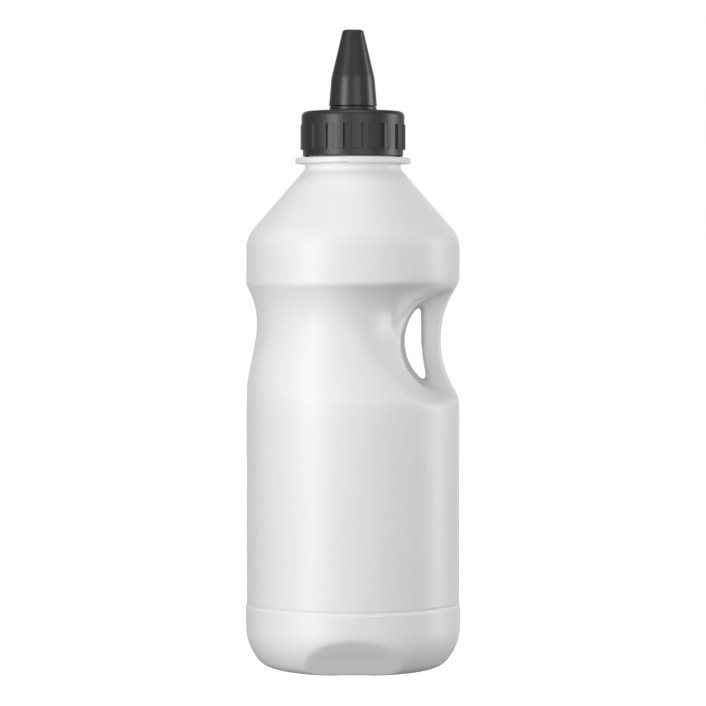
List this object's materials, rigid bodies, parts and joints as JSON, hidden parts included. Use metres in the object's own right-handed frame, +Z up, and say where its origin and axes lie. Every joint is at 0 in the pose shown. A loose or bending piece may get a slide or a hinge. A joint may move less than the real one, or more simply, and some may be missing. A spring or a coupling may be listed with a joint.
{
  "type": "squeeze bottle",
  "caption": "Squeeze bottle with a moulded side grip opening, a neck ring, a ribbed screw cap and a twist-open cone nozzle.",
  "frame": {"origin": "centre of the bottle's footprint, on the plane of the contact ring it stands on", "axes": "+Z up through the neck and nozzle, +X towards the grip handle, -Y towards the front with the heel notch"},
  "size_m": [0.0858, 0.0858, 0.2542],
  "materials": {
    "bottle_plastic": "satin blow-moulded polyethylene, white and slightly translucent",
    "cap_plastic": "satin injection-moulded polypropylene, black",
    "liner_foam": "white closed-cell foam disc",
    "seal_rubber": "black moulded rubber"
  },
  "bodies": {
    "bottle": {"bottle_lower": "bottle_plastic", "bottle_grip": "bottle_plastic", "bottle_shoulder": "bottle_plastic", "bottle_neck": "bottle_plastic"},
    "liner": {"cap_liner": "liner_foam"},
    "cap": {"screw_cap": "cap_plastic"},
    "seal": {"nozzle_seal": "seal_rubber"},
    "nozzle": {"twist_nozzle": "cap_plastic"}
  },
  "joints": [
    {"name": "cap_lift", "type": "slide", "parent": "bottle", "child": "liner", "axis": [0, 0, 1], "range_m": [0, 0.01906]},
    {"name": "cap_turn", "type": "hinge", "parent": "liner", "child": "cap", "pos_m": [0, 0, 0.2116], "axis": [0, 0, 1], "range_deg": [0, 1620]},
    {"name": "nozzle_lift", "type": "slide", "parent": "cap", "child": "seal", "axis": [0, 0, 1], "range_m": [0, 0.003]},
    {"name": "nozzle_twist", "type": "hinge", "parent": "seal", "child": "nozzle", "pos_m": [0, 0, 0.231], "axis": [0, 0, 1], "range_deg": [0, 180]}
  ],
  "couplings": [
    {"joint": "cap_lift", "follows": "cap_turn", "m_per_rad": 0.0006737},
    {"joint": "nozzle_lift", "follows": "nozzle_twist", "m_per_rad": 0.00095493}
  ]
}
